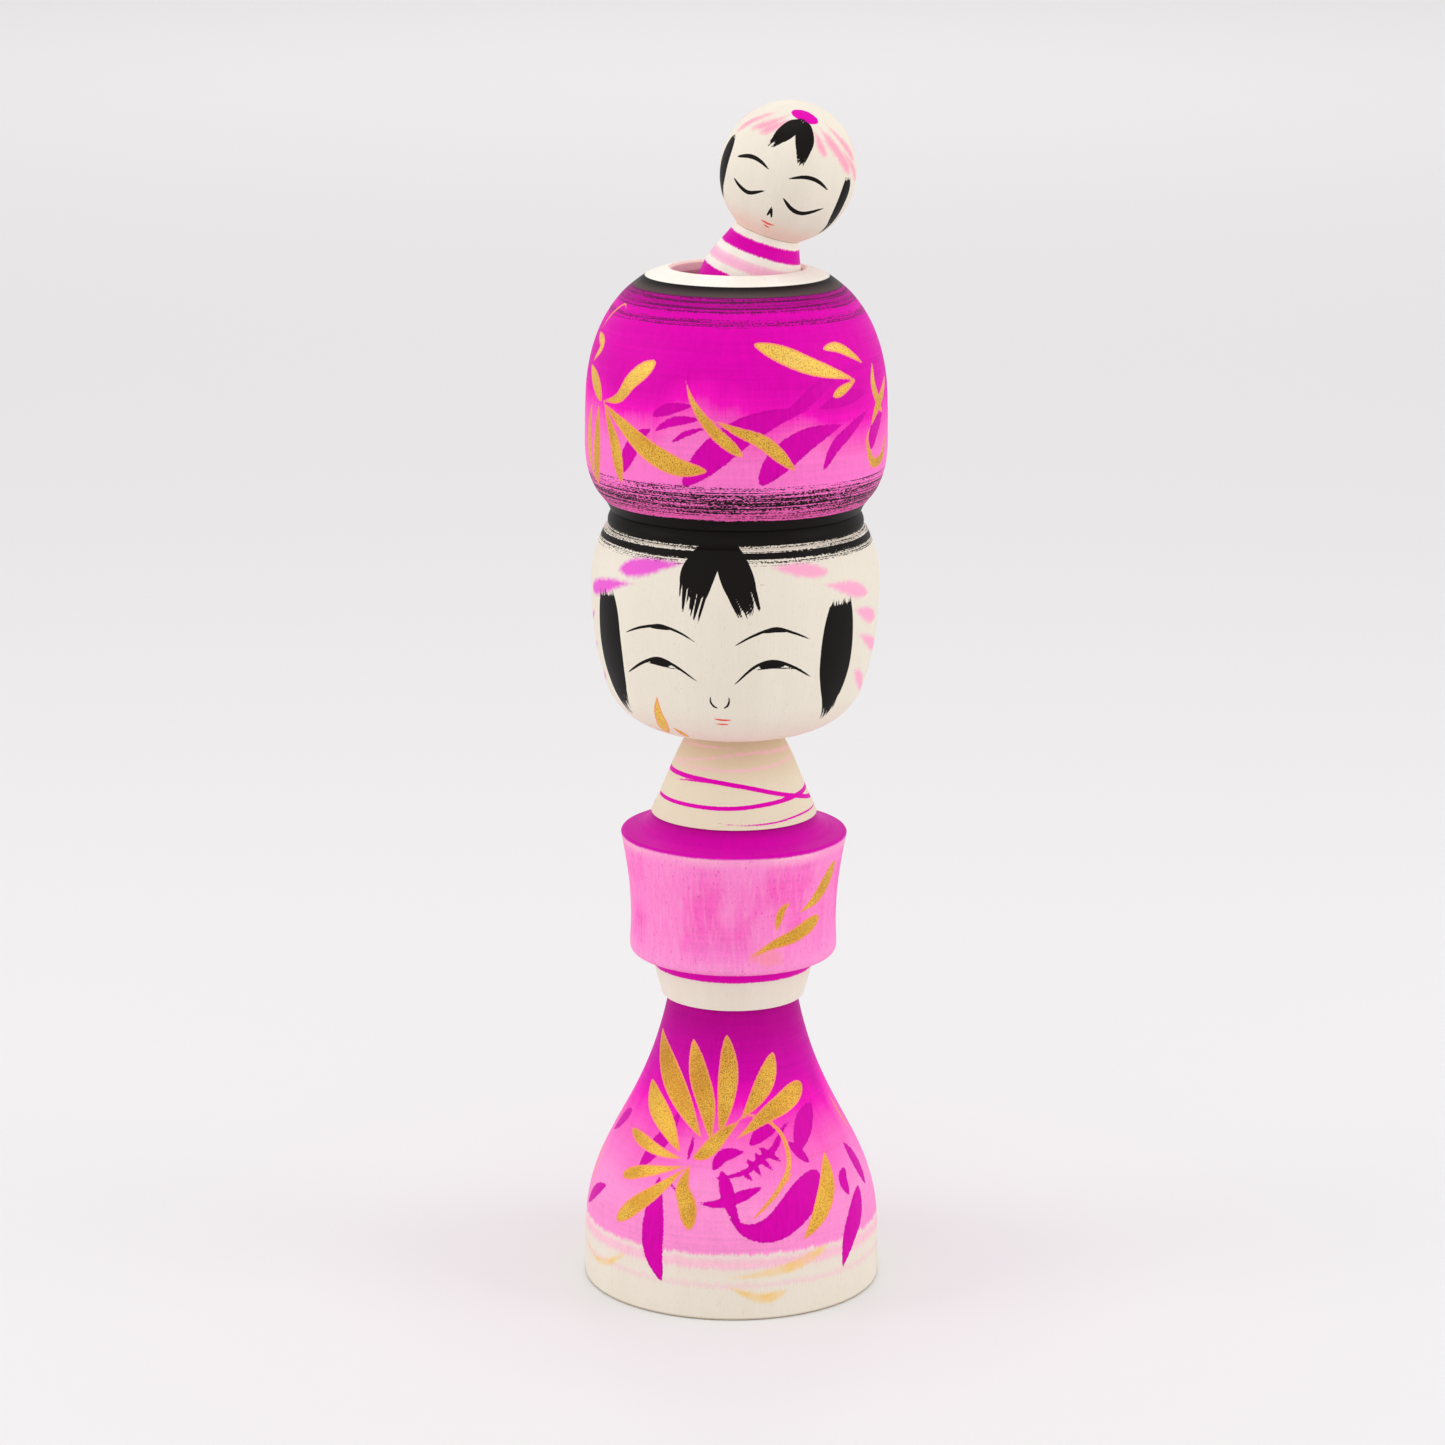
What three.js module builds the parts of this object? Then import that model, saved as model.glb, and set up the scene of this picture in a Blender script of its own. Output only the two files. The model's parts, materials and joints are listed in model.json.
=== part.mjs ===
// A lathe-turned kokeshi doll. A flared skirt, a drum-shaped torso, a neck cone, a barrel-shaped
// head and a hollow pot stand on one vertical axis, joined by plain wooden dowels, and a small
// doll leans in the mouth of the pot. Millimetres, +Z up, the face looks along -Y, and the origin
// is at the middle of the underside of the skirt.
import * as THREE from 'three';

// Driving dimensions. Each piece is drawn from its own seat, at height 0, upwards.
const SKIRT = { height: 59.5, baseRadius: 29.85, footRadius: 29.55, wallHeight: 9,
  hipRadius: 22.8, hipHeight: 33, waistRadius: 12.9 };
const TORSO = { height: 37.75, ringRadius: 14.3, stepRadius: 16.6, stepHeight: 8.5,
  hemRadius: 20.8, edgeRadius: 22.65, edgeHeight: 33.6, seatRadius: 16 };
const NECK = { height: 16.75, baseRadius: 16.6, topRadius: 9 };
const HEAD = { height: 44.75, seatRadius: 9.5, jawRadius: 24.8, jawHeight: 8,
  cheekRadius: 28.5, cheekHeight: 29.5, browRadius: 25.9, browHeight: 41.2, crownRadius: 24.4 };
const POT = { height: 47.75, footRadius: 24.7, bellyRadius: 29.65, bellyHeight: 21,
  rimRadius: 17.7, rimHeight: 46.35, mouthRadius: 12.9, hollowRadius: 19.5, hollowHeight: 26,
  floorRadius: 12, floorHeight: 14.75 };
const MINI = { bodyHeight: 40.4, footRadius: 3.8, heelRadius: 5.8, bustRadius: 10.2, bustHeight: 28,
  neckRadius: 6.4, headRadius: 13.3, headHalfHeight: 13.8, tenonRadius: 2.2, tenonLength: 5 };
const DOWEL = { radius: 4, depth: 9, chamfer: 0.5 };

const TIGHT_FIT = 0.05;    // radial clearance of a dowel that is pushed in to stay
const TURNING_FIT = 0.25;  // radial clearance where one piece turns or slides on another
const END_GAP = 0.5;       // room left at the end of a dowel
const MINI_GAP = 0.3;      // gap between the small doll's pieces, and under its foot

// The small doll stands on the floor of the pot and leans on its rim.
const MINI_LEAN = THREE.MathUtils.degToRad(18);    // to +X
const MINI_NOD = THREE.MathUtils.degToRad(3);      // to -Y
const MINI_FOOT = new THREE.Vector3(-6.65, 1.5, 16.3);  // from the pot's seat

const AROUND = 40;        // sides of a large turned piece
const AROUND_SMALL = 32;  // sides of the small doll's pieces
const AROUND_DOWEL = 24;
const CURVE_STEPS = 5;    // straight steps along each curve of an outline

// Seats, from the floor up.
const TORSO_SEAT = SKIRT.height;
const NECK_SEAT = TORSO_SEAT + TORSO.height;
const HEAD_SEAT = NECK_SEAT + NECK.height;
const POT_SEAT = HEAD_SEAT + HEAD.height;

const wood = {
  bare: material(0xe9e2cf, 0.55),
  magenta: material(0xc8008f, 0.5),
  pink: material(0xff7cc0, 0.5),
  dowel: material(0xd9c7a0, 0.7),
};

function material(color, roughness) {
  return new THREE.MeshStandardMaterial({ color, roughness, metalness: 0 });
}

// Draws a smooth curve from the outline's end to (radius, height). leave and arrive are its
// directions at the two ends, in degrees from straight up, positive away from the axis.
function curveTo(outline, leave, arrive, radius, height, fullness = 0.39) {
  const start = outline.currentPoint;
  const reach = fullness * Math.hypot(radius - start.x, height - start.y);
  const [a, b] = [leave, arrive].map(THREE.MathUtils.degToRad);
  outline.bezierCurveTo(
    start.x + reach * Math.sin(a), start.y + reach * Math.cos(a),
    radius - reach * Math.sin(b), height - reach * Math.cos(b),
    radius, height);
}

// Adds straight lines from the outline's end through the given [radius, height] corners.
function linesTo(outline, ...corners) {
  for (const [radius, height] of corners) {
    outline.lineTo(radius, height);
  }
}

// Turns an outline, drawn as (radius, height), about the Z axis.
function turned(name, outline, finish, around = AROUND) {
  const geometry = new THREE.LatheGeometry(outline.getPoints(CURVE_STEPS), around);
  geometry.rotateX(Math.PI / 2);
  const mesh = new THREE.Mesh(geometry, finish);
  mesh.name = name;
  return mesh;
}

// An outline that starts at the end of a dowel's socket and comes down it to the seat.
function fromSocket(radius, depth) {
  const outline = new THREE.Path();
  outline.moveTo(0, depth);
  linesTo(outline, [radius, depth], [radius, 0]);
  return outline;
}

function skirt() {
  const socket = DOWEL.radius + TIGHT_FIT;
  const outline = new THREE.Path();
  outline.moveTo(0, 0);
  linesTo(outline, [SKIRT.footRadius, 0], [SKIRT.baseRadius, SKIRT.baseRadius - SKIRT.footRadius]);
  linesTo(outline, [SKIRT.baseRadius, SKIRT.wallHeight]);
  curveTo(outline, 0, -28.5, SKIRT.hipRadius, SKIRT.hipHeight);
  curveTo(outline, -28.5, -12, SKIRT.waistRadius, SKIRT.height);
  linesTo(outline, [socket, SKIRT.height], [socket, SKIRT.height - DOWEL.depth]);
  linesTo(outline, [0, SKIRT.height - DOWEL.depth]);
  return turned('skirt', outline, wood.magenta);
}

// The tapered waist ring at the bottom overhangs the skirt, and the drum above it has a sharp
// hem, hollow sides and a dished shoulder that rises to the neck's seat.
function torso() {
  const socket = DOWEL.radius + TIGHT_FIT;
  const outline = fromSocket(socket, DOWEL.depth);
  linesTo(outline, [TORSO.ringRadius, 0], [TORSO.stepRadius, TORSO.stepHeight]);
  linesTo(outline, [TORSO.hemRadius - 1, TORSO.stepHeight + 0.4]);
  curveTo(outline, 70, -2, TORSO.hemRadius, TORSO.stepHeight + 2);
  curveTo(outline, -3, 11, TORSO.edgeRadius, TORSO.edgeHeight);
  linesTo(outline, [TORSO.edgeRadius - 0.3, TORSO.edgeHeight + 0.4]);
  curveTo(outline, -78, -28, TORSO.seatRadius, TORSO.height);
  linesTo(outline, [socket, TORSO.height], [socket, TORSO.height - DOWEL.depth]);
  linesTo(outline, [0, TORSO.height - DOWEL.depth]);
  return turned('torso', outline, wood.pink);
}

// A cone with slightly hollow sides, bored through for the long dowel.
function neckCone() {
  const bore = DOWEL.radius + TIGHT_FIT;
  const outline = new THREE.Path();
  outline.moveTo(bore, 0);
  linesTo(outline, [NECK.baseRadius, 0]);
  curveTo(outline, -26, -30, NECK.topRadius, NECK.height);
  linesTo(outline, [bore, NECK.height], [bore, 0]);
  return turned('neck_cone', outline, wood.bare);
}

// A soft barrel with a low round jaw, a fine groove above the brow and a raised crown ring.
function head() {
  const socket = DOWEL.radius + TURNING_FIT;
  const outline = fromSocket(socket, DOWEL.depth + END_GAP);
  linesTo(outline, [HEAD.seatRadius, 0]);
  curveTo(outline, 84, 30, HEAD.jawRadius, HEAD.jawHeight);
  curveTo(outline, 21, 2, HEAD.cheekRadius, HEAD.cheekHeight);
  curveTo(outline, 2, -24, HEAD.browRadius, HEAD.browHeight);
  linesTo(outline, [HEAD.browRadius - 0.8, HEAD.browHeight + 0.4]);
  curveTo(outline, 20, -35, HEAD.crownRadius, HEAD.height);
  linesTo(outline, [socket, HEAD.height], [socket, HEAD.height - DOWEL.depth]);
  linesTo(outline, [0, HEAD.height - DOWEL.depth]);
  return turned('head', outline, wood.bare);
}

// A round pot with a broad sloping rim. Its hollow is wider inside than at the mouth.
function pot() {
  const outline = fromSocket(DOWEL.radius + TURNING_FIT, DOWEL.depth + END_GAP);
  linesTo(outline, [POT.footRadius, 0], [POT.footRadius + 0.7, 1.4]);
  curveTo(outline, 44, 0, POT.bellyRadius, POT.bellyHeight);
  curveTo(outline, 0, -60, POT.rimRadius, POT.rimHeight, 0.36);
  curveTo(outline, -68, -80, POT.mouthRadius + 0.5, POT.height);
  linesTo(outline, [POT.mouthRadius, POT.height - 0.5], [POT.mouthRadius, POT.height - 2]);
  curveTo(outline, 150, 180, POT.hollowRadius, POT.hollowHeight);
  curveTo(outline, 180, 270, POT.floorRadius, POT.floorHeight);
  linesTo(outline, [0, POT.floorHeight]);
  return turned('pot', outline, wood.magenta);
}

// A plain pin with chamfered ends, standing at height 0.
function dowel(name, length) {
  const { radius, chamfer } = DOWEL;
  const outline = new THREE.Path();
  outline.moveTo(0, 0);
  linesTo(outline, [radius - chamfer, 0], [radius, chamfer], [radius, length - chamfer]);
  linesTo(outline, [radius - chamfer, length], [0, length]);
  return turned(name, outline, wood.dowel, AROUND_DOWEL);
}

// A spindle that is widest at the bust, with a turned tenon for the head on top.
function miniBody() {
  const outline = new THREE.Path();
  outline.moveTo(0, 0);
  linesTo(outline, [MINI.footRadius, 0]);
  curveTo(outline, 75, 20, MINI.heelRadius, 2.2);
  curveTo(outline, 14, 0, MINI.bustRadius, MINI.bustHeight);
  curveTo(outline, 0, -20, MINI.neckRadius, MINI.bodyHeight);
  linesTo(outline, [MINI.tenonRadius, MINI.bodyHeight]);
  linesTo(outline, [MINI.tenonRadius, MINI.bodyHeight + MINI.tenonLength]);
  linesTo(outline, [0, MINI.bodyHeight + MINI.tenonLength]);
  return turned('mini_body', outline, wood.pink, AROUND_SMALL);
}

// A ball, slightly taller than it is wide, cut flat where it meets the neck.
function miniHead() {
  const cut = Math.acos(MINI.neckRadius / MINI.headRadius);
  const middle = MINI.headHalfHeight * Math.sin(cut);
  const outline = fromSocket(MINI.tenonRadius + TURNING_FIT, MINI.tenonLength + END_GAP);
  linesTo(outline, [MINI.neckRadius, 0]);
  outline.absellipse(0, middle, MINI.headRadius, MINI.headHalfHeight, -cut, Math.PI / 2);
  return turned('mini_head', outline, wood.bare, AROUND_SMALL);
}

// Places a piece or a group at a height on the doll's axis.
function at(height, object) {
  object.position.z = height;
  return object;
}

function miniDoll() {
  const doll = new THREE.Group();
  doll.add(miniBody(), at(MINI.bodyHeight + MINI_GAP, miniHead()));
  doll.position.copy(MINI_FOOT);
  doll.rotation.set(MINI_NOD, MINI_LEAN, 0);
  return doll;
}

function kokeshi() {
  const doll = new THREE.Group();
  const pinLength = 2 * (DOWEL.depth - END_GAP);
  doll.add(
    skirt(),
    at(TORSO_SEAT - pinLength / 2, dowel('waist_dowel', pinLength)),
    at(TORSO_SEAT, torso()),
    at(NECK_SEAT, neckCone()),
    at(NECK_SEAT - pinLength / 2, dowel('neck_dowel', pinLength + NECK.height)),
    at(HEAD_SEAT, head()),
    at(POT_SEAT - pinLength / 2, dowel('crown_dowel', pinLength)));
  const potGroup = at(POT_SEAT, new THREE.Group());
  potGroup.add(pot(), miniDoll());
  doll.add(potGroup);
  return doll;
}

export default kokeshi();
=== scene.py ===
import json
import math
import random

import bpy
import numpy as np
from mathutils import Matrix, Vector


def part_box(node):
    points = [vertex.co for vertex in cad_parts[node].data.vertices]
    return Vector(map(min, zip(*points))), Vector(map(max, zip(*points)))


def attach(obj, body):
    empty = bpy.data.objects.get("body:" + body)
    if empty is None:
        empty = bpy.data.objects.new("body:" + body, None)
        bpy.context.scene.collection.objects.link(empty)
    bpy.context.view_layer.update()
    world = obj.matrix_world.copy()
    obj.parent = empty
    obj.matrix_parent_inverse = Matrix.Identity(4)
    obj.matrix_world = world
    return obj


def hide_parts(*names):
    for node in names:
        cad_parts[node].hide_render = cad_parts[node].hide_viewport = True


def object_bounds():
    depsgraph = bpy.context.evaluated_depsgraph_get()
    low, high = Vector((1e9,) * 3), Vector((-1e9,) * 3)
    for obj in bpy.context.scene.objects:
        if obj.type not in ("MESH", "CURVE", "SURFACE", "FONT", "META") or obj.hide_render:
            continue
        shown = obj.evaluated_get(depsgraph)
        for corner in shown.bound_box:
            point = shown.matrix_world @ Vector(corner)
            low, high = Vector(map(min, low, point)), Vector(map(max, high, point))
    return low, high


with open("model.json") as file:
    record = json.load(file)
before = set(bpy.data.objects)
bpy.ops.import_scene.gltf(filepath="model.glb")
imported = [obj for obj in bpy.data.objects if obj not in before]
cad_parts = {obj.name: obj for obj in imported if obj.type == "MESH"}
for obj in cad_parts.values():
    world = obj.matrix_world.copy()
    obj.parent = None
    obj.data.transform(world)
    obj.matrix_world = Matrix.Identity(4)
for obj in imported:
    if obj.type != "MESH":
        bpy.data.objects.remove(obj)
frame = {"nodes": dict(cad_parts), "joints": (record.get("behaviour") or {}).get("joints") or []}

# A kokeshi doll with a small doll leaning out of the pot on its head, turned in pale wood and
# painted with magenta dye, gold and black ink.
#
# Each CAD node is turned again here, finely, round the outline that its own mesh holds. The
# brush strokes are then laid on it: each layer of paint keeps, at every point of the mesh, how
# far inside a stroke the point lies, and the material turns that into wet edges, thin ends and
# speckled gold.
#
# Lengths are in millimetres and angles in degrees. A place on a piece is (angle, height): the
# angle goes round from the front towards +X, and the height is taken from the piece's own foot,
# or on the small doll's head from the foot of its body.

CAD_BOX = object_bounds()
MM = 0.001
DICE = random.Random(444)

SMALL_DOLL = ("mini_body", "mini_head")
SAME_RING = 0.02         # two corners of an outline closer than this are one
CORNER = 24              # an outline that turns by more than this has an edge there
EDGE_SOFTNESS = 0.16     # how far each edge is eased by sanding
COARSE = 1.2             # spacing of the mesh where nothing is painted
SPAN_SAMPLES = 24        # points in each span of a smoothed curve
STROKE_STEP = 0.12       # spacing of the points along a stroke
FAR = 1.5                # paint is only measured this far outside a stroke
AT_ONCE = 4_000_000      # how many gaps between points and a stroke are measured at once
LOCK_SAMPLES = 8         # points in each span of the edge of a lock of hair
MARK_STRIDE = 3          # a bristle mark goes through only every third of them
STRANDS = 3              # stray strands beside each bristle mark
SPLAY = 0.8              # how many degrees the ends of a strand may stray round the piece
TYPICAL_RADIUS = 25      # the radius at which the width of a pattern round a piece is true


# ---------------------------------------------------------------------------------------------
# Turned shapes

def turning_frame(node):
    """The frame that a node is turned in, from its foot up and with its front to -Y. The small doll's
    head shares the frame of its body."""
    if node not in SMALL_DOLL:
        return Matrix.Translation((0, 0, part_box(node)[0][2]))
    joint = next(j for j in frame["joints"] if j["name"] == "mini_head_turn")
    x, y, z = joint["axis"]
    tilt = Matrix.Rotation(math.atan2(-y, z), 4, "X") @ Matrix.Rotation(math.asin(x), 4, "Y")
    neck = Matrix.Translation(joint["pos_m"]) @ tilt
    body = frame["nodes"]["mini_body"].data
    foot = min((neck.inverted() @ vertex.co).z for vertex in body.vertices)
    return neck @ Matrix.Translation((0, 0, foot))


def ring_number(spot, rings):
    """The number of the ring that a (radius, height) lies on, added to the list if it is new."""
    for number, ring in enumerate(rings):
        if math.dist(ring, spot) < SAME_RING:
            return number
    rings.append(spot)
    return len(rings) - 1


def corners_of(node, turning):
    """A node's turned outline as (radius, height) corners: from the axis below to the axis above, or
    once round and back to its first corner where the node is bored right through."""
    mesh = frame["nodes"][node].data
    inward = turning.inverted()
    rings = []
    number = []
    for vertex in mesh.vertices:
        x, y, z = (inward @ vertex.co) / MM
        number.append(ring_number((math.hypot(x, y), z), rings))
    links = {}
    for edge in mesh.edges:
        a, b = (number[vertex] for vertex in edge.vertices)
        if a != b:
            links.setdefault(a, set()).add(b)
            links.setdefault(b, set()).add(a)
    ends = [ring for ring in links if len(links[ring]) == 1]
    bored_through = not ends
    lowest = min(links, key=lambda ring: (round(rings[ring][1], 1), rings[ring][0]))
    start = lowest if bored_through else ends[0]
    path = [start]
    while len(path) < len(links):
        path += [ring for ring in links[path[-1]] if ring not in path][:1]
    outline = [rings[ring] for ring in path + [start] * bored_through]
    if not bored_through:
        outline = [(0, outline[0][1])] * (outline[0][0] > SAME_RING) + outline
        outline = outline + [(0, outline[-1][1])] * (outline[-1][0] > SAME_RING)
    area = sum(a[0] * b[1] - b[0] * a[1] for a, b in zip(outline, outline[1:]))
    return np.array(outline if area > 0 else outline[::-1])


def curve_through(points, samples):
    """A smooth curve through the points (a Catmull-Rom spline), with so many samples a span."""
    points = np.asarray(points, float)
    if len(points) == 2:
        ahead = np.linspace(0, 1, samples + 1)[:, None]
        return points[0] + (points[1] - points[0]) * ahead
    held = np.vstack([2 * points[0] - points[1], points, 2 * points[-1] - points[-2]])
    spans = []
    t = np.linspace(0, 1, samples, endpoint=False)[:, None]
    for p0, p1, p2, p3 in zip(held, held[1:], held[2:], held[3:]):
        chords = (math.dist(p0, p1), math.dist(p1, p2), math.dist(p2, p3))
        near, step, far = (max(chord, 1e-6) ** 0.5 for chord in chords)
        out = (p1 - p0) * step / near - (p2 - p0) * step / (near + step) + (p2 - p1)
        into = (p2 - p1) - (p3 - p1) * step / (step + far) + (p3 - p2) * step / far
        bend = 2 * (p1 - p2) + out + into
        spans.append(p1 + out * t + (3 * (p2 - p1) - 2 * out - into) * t**2 + bend * t**3)
    return np.vstack(spans + [points[-1:]])


def run_lengths(curve):
    """How far along the curve each of its points lies."""
    return np.concatenate([[0], np.cumsum(np.linalg.norm(np.diff(curve, axis=0), axis=1))])


def spaced(curve, step):
    """The curve again with its points an even step apart."""
    lengths = run_lengths(curve)
    places = np.linspace(0, lengths[-1], max(1, math.ceil(lengths[-1] / step)) + 1)
    return np.stack([np.interp(places, lengths, axis) for axis in curve.T], axis=1)


def eased(curve, ease_start, ease_end):
    """The curve without the short ends that its eased edges take away."""
    lengths = run_lengths(curve)
    cut = min(EDGE_SOFTNESS, lengths[-1] / 4)
    start, end = cut * ease_start, lengths[-1] - cut * ease_end
    places = np.concatenate([[start], lengths[(lengths > start) & (lengths < end)], [end]])
    return np.stack([np.interp(places, lengths, axis) for axis in curve.T], axis=1)


def fine_outline(corners, step, show):
    """The outline smoothed between its edges, which are eased, and finely divided where it shows."""
    headings = np.degrees(np.arctan2(*np.diff(corners, axis=0).T[::-1]))
    turns = np.abs((np.diff(headings) + 180) % 360 - 180)
    edges = [0] + [k + 1 for k, turn in enumerate(turns) if turn > CORNER] + [len(corners) - 1]
    stretches = []
    for first, last in zip(edges, edges[1:]):
        stretch = curve_through(corners[first:last + 1], SPAN_SAMPLES)
        stretch = eased(stretch, first > 0, last < len(corners) - 1)
        seen = show[0] <= first and last <= show[1]
        stretches.append(spaced(stretch, step if seen else COARSE))
    outline = [stretches[0]]
    t = np.array([0.25, 0.5, 0.75])[:, None]
    for edge, stretch in zip(edges[1:], stretches[1:]):
        before, corner, after = outline[-1][-1], corners[edge], stretch[0]
        outline.append(before * (1 - t) ** 2 + 2 * corner * t * (1 - t) + after * t**2)
        outline.append(stretch)
    return np.vstack(outline)


def columns(radius, step, front=None):
    """Angles round a piece: the step apart on its widest ring, and wider apart outside the front."""
    fine = math.degrees(step / radius)
    if front is None:
        return np.linspace(-180, 180, round(360 / fine), endpoint=False)
    left, right = front
    middle = np.linspace(left, right, round((right - left) / fine), endpoint=False)
    rest = 360 - (right - left)
    wide = np.linspace(right, right + rest, round(rest / (3 * fine)), endpoint=False)
    return np.concatenate([middle, wide])


class Turned:
    """A turned piece: its points in its own frame, and the layers of paint over them."""

    def __init__(self, node, step, front=None, sunk=0.0):
        """The step is the mesh's spacing, front the painted angles if it is finer there, and sunk how
        far the lowest face reaches down to close the gap that the CAD leaves under it."""
        self.node = node
        self.turning = turning_frame(node)
        corners = corners_of(node, self.turning)
        corners[corners[:, 1] < corners[:, 1].min() + SAME_RING, 1] -= sunk
        low, high = int(np.argmin(corners[:, 1])), int(np.argmax(corners[:, 1]))
        self.outline = fine_outline(corners, step, (low, high))
        self.height = float(corners[:, 1].max())
        self.radius = float(corners[:, 0].max())
        self.angles = columns(self.radius, step, front)
        self.layers = {}
        self.lay_out()

    def lay_out(self):
        """Works out every point of the mesh, ring by ring, and the wall that strokes are laid on."""
        turns = np.radians(self.angles)
        rings = []
        self.faces = []
        before = None
        count = 0
        bored_through = self.outline[0][0] > SAME_RING
        for radius, height in self.outline[:-1] if bored_through else self.outline:
            lone = radius < SAME_RING
            spin = turns[:1] if lone else turns
            level = np.full(len(spin), height)
            ring = np.stack([radius * np.sin(spin), -radius * np.cos(spin), level], 1)
            numbers = np.arange(count, count + len(spin))
            if before is not None:
                self.faces += self.joined(before, numbers)
            before = numbers
            count += len(spin)
            rings.append(ring)
        if bored_through:
            self.faces += self.joined(before, np.arange(len(turns)))
        self.points = np.vstack(rings)
        low, high = int(np.argmin(self.outline[:, 1])), int(np.argmax(self.outline[:, 1]))
        wall = self.outline[low:high + 1]
        self.wall = wall[np.argsort(wall[:, 1])]
        self.wall_points = range(sum(map(len, rings[:low])), sum(map(len, rings[:high])))

    @staticmethod
    def joined(lower, upper):
        """The faces between two rings, either of which may be a single point on the axis."""
        if len(lower) == 1:
            return [(lower[0], b, a) for a, b in zip(upper, np.roll(upper, -1))]
        if len(upper) == 1:
            return [(a, b, upper[0]) for a, b in zip(lower, np.roll(lower, -1))]
        return list(zip(lower, np.roll(lower, -1), np.roll(upper, -1), upper))

    def on_wall(self, places):
        """Points on the outer wall at the given (angle, height) places."""
        turn, height = np.radians(places[:, 0]), places[:, 1]
        radius = np.interp(height, self.wall[:, 1], self.wall[:, 0])
        return np.stack([radius * np.sin(turn), -radius * np.cos(turn), height], 1)

    def brush(self, ink, width, belly, *places, fullness=0.7):
        """Lays a stroke through the places. Its full width is at the belly, from 0 to 1 along it: the
        end nearer to the belly is round, where the brush was pressed, and the other is drawn out."""
        layer = self.layers.setdefault(ink, np.full(len(self.points), -FAR))
        line = spaced(self.on_wall(curve_through(places, SPAN_SAMPLES)), STROKE_STEP)
        along = np.linspace(0, 1, len(line))
        before = along < belly
        swell = np.where(before, along / belly, (1 - along) / (1 - belly))
        taper = fullness * (0.25 + 1.9 * np.where(before, belly, 1 - belly))
        half = width / 2 * np.sin(np.pi / 2 * np.clip(swell, 0, 1)) ** taper
        reach = FAR + width
        near = np.all((self.points > line.min(0) - reach) & (self.points < line.max(0) + reach), 1)
        batches = max(1, near.sum() * len(line) // AT_ONCE)
        for chosen in np.array_split(np.flatnonzero(near), batches):
            gaps = np.linalg.norm(self.points[chosen, None] - line[None], axis=2)
            layer[chosen] = np.maximum(layer[chosen], (half - gaps).max(1))

    def hair(self, hairs, width, ragged, one_edge, other_edge):
        """Lays hair as a row of bristle marks from one edge to the other. A ragged share of its length
        is only thin stray strands, half of it at each end."""
        one, other = (curve_through(edge, LOCK_SAMPLES) for edge in (one_edge, other_edge))
        for share in np.linspace(0, 1, hairs):
            lock = one * (1 - share) + other * share
            whole = len(lock)
            first, last = round(whole * ragged / 2), round(whole * (1 - ragged / 2))
            self.brush("black", width, 0.5, *lock[first:last:MARK_STRIDE], fullness=0.25)
            for _ in range(STRANDS):
                strand = lock + [DICE.uniform(-SPLAY, SPLAY), 0] * np.linspace(-1, 1, whole)[:, None]
                stray = slice(DICE.randrange(first + 1), whole - DICE.randrange(whole - last + 1))
                self.brush("black", width * 0.42, 0.5, *strand[stray], fullness=0.35)

    def finish(self, body, material):
        """Makes the piece in place of its CAD node, riding on a body."""
        mesh = bpy.data.meshes.new(self.node + "_turned")
        place = np.array(self.turning @ Matrix.Scale(MM, 4))
        moved = self.points @ place[:3, :3].T + place[:3, 3]
        mesh.from_pydata(moved.tolist(), [], [tuple(map(int, face)) for face in self.faces])
        mesh.polygons.foreach_set("use_smooth", [True] * len(mesh.polygons))
        spots = mesh.attributes.new("place", "FLOAT_VECTOR", "POINT")
        spots.data.foreach_set("vector", self.points.astype(np.float32).ravel())
        for ink, depth in self.layers.items():
            layer = mesh.attributes.new(ink, "FLOAT", "POINT")
            layer.data.foreach_set("value", depth.astype(np.float32))
        mesh.materials.append(material)
        piece = bpy.data.objects.new(self.node + "_piece", mesh)
        bpy.context.scene.collection.objects.link(piece)
        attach(piece, body)
        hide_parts(self.node)


# ---------------------------------------------------------------------------------------------
# Colours and materials

def rgb(red, green, blue):
    """A display colour, 0 to 255, as the linear colour that a shader takes."""
    def linear(level):
        level /= 255
        return level / 12.92 if level <= 0.04045 else ((level + 0.055) / 1.055) ** 2.4
    return (linear(red), linear(green), linear(blue), 1.0)


# wood
WOOD = rgb(239, 232, 218)
WOOD_GRAIN = rgb(224, 212, 188)
FLECK = rgb(205, 184, 150)
NECK_WOOD = rgb(236, 223, 198)
SHADED_NECK = rgb(212, 182, 144)
# painted shadow: brown for the contact shadow along the skirt's foot
FOOT_CONTACT_SHADOW = rgb(150, 122, 84)
DOWEL_WOOD = rgb(226, 205, 166)
DOWEL_GRAIN = rgb(196, 164, 116)
SEALED = rgb(252, 247, 240)
# wood with painted light: the pot's inside lightened to near white and pinked, as if lit by bounced
# light
INNER_WOOD_BOUNCE_LIT = rgb(255, 232, 222)
# dye
MAGENTA = rgb(224, 0, 175)
LEAF_MAGENTA = rgb(190, 0, 152)
BRIGHT_MAGENTA = rgb(248, 16, 190)
STRONG_MAGENTA = rgb(214, 0, 171)
# painted shade: magenta darkened where it lies under an overhang
SHADED_MAGENTA = rgb(184, 0, 142)
SHOULDER_MAGENTA = rgb(186, 0, 146)
FOOT_PINK = rgb(236, 96, 172)
STRONG_PINK = rgb(255, 104, 196)
HOT_PINK = rgb(255, 122, 205)
PINK = rgb(255, 146, 211)
PALE_PINK = rgb(255, 188, 214)
PETAL = rgb(238, 62, 212)
PALE_PETAL = rgb(255, 168, 206)
SMALL_PETAL = rgb(254, 164, 190)
# painted reflection: pink light bounced onto the lower face of the head
CHIN_BOUNCE_LIGHT = rgb(255, 214, 200)
# painted reflection: pink light bounced from the pot onto the small doll's lower face
SMALL_CHIN_BOUNCE_LIGHT = rgb(255, 208, 190)
LIPS = rgb(236, 86, 74)
# ink and gold
BLACK = rgb(26, 22, 22)
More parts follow.
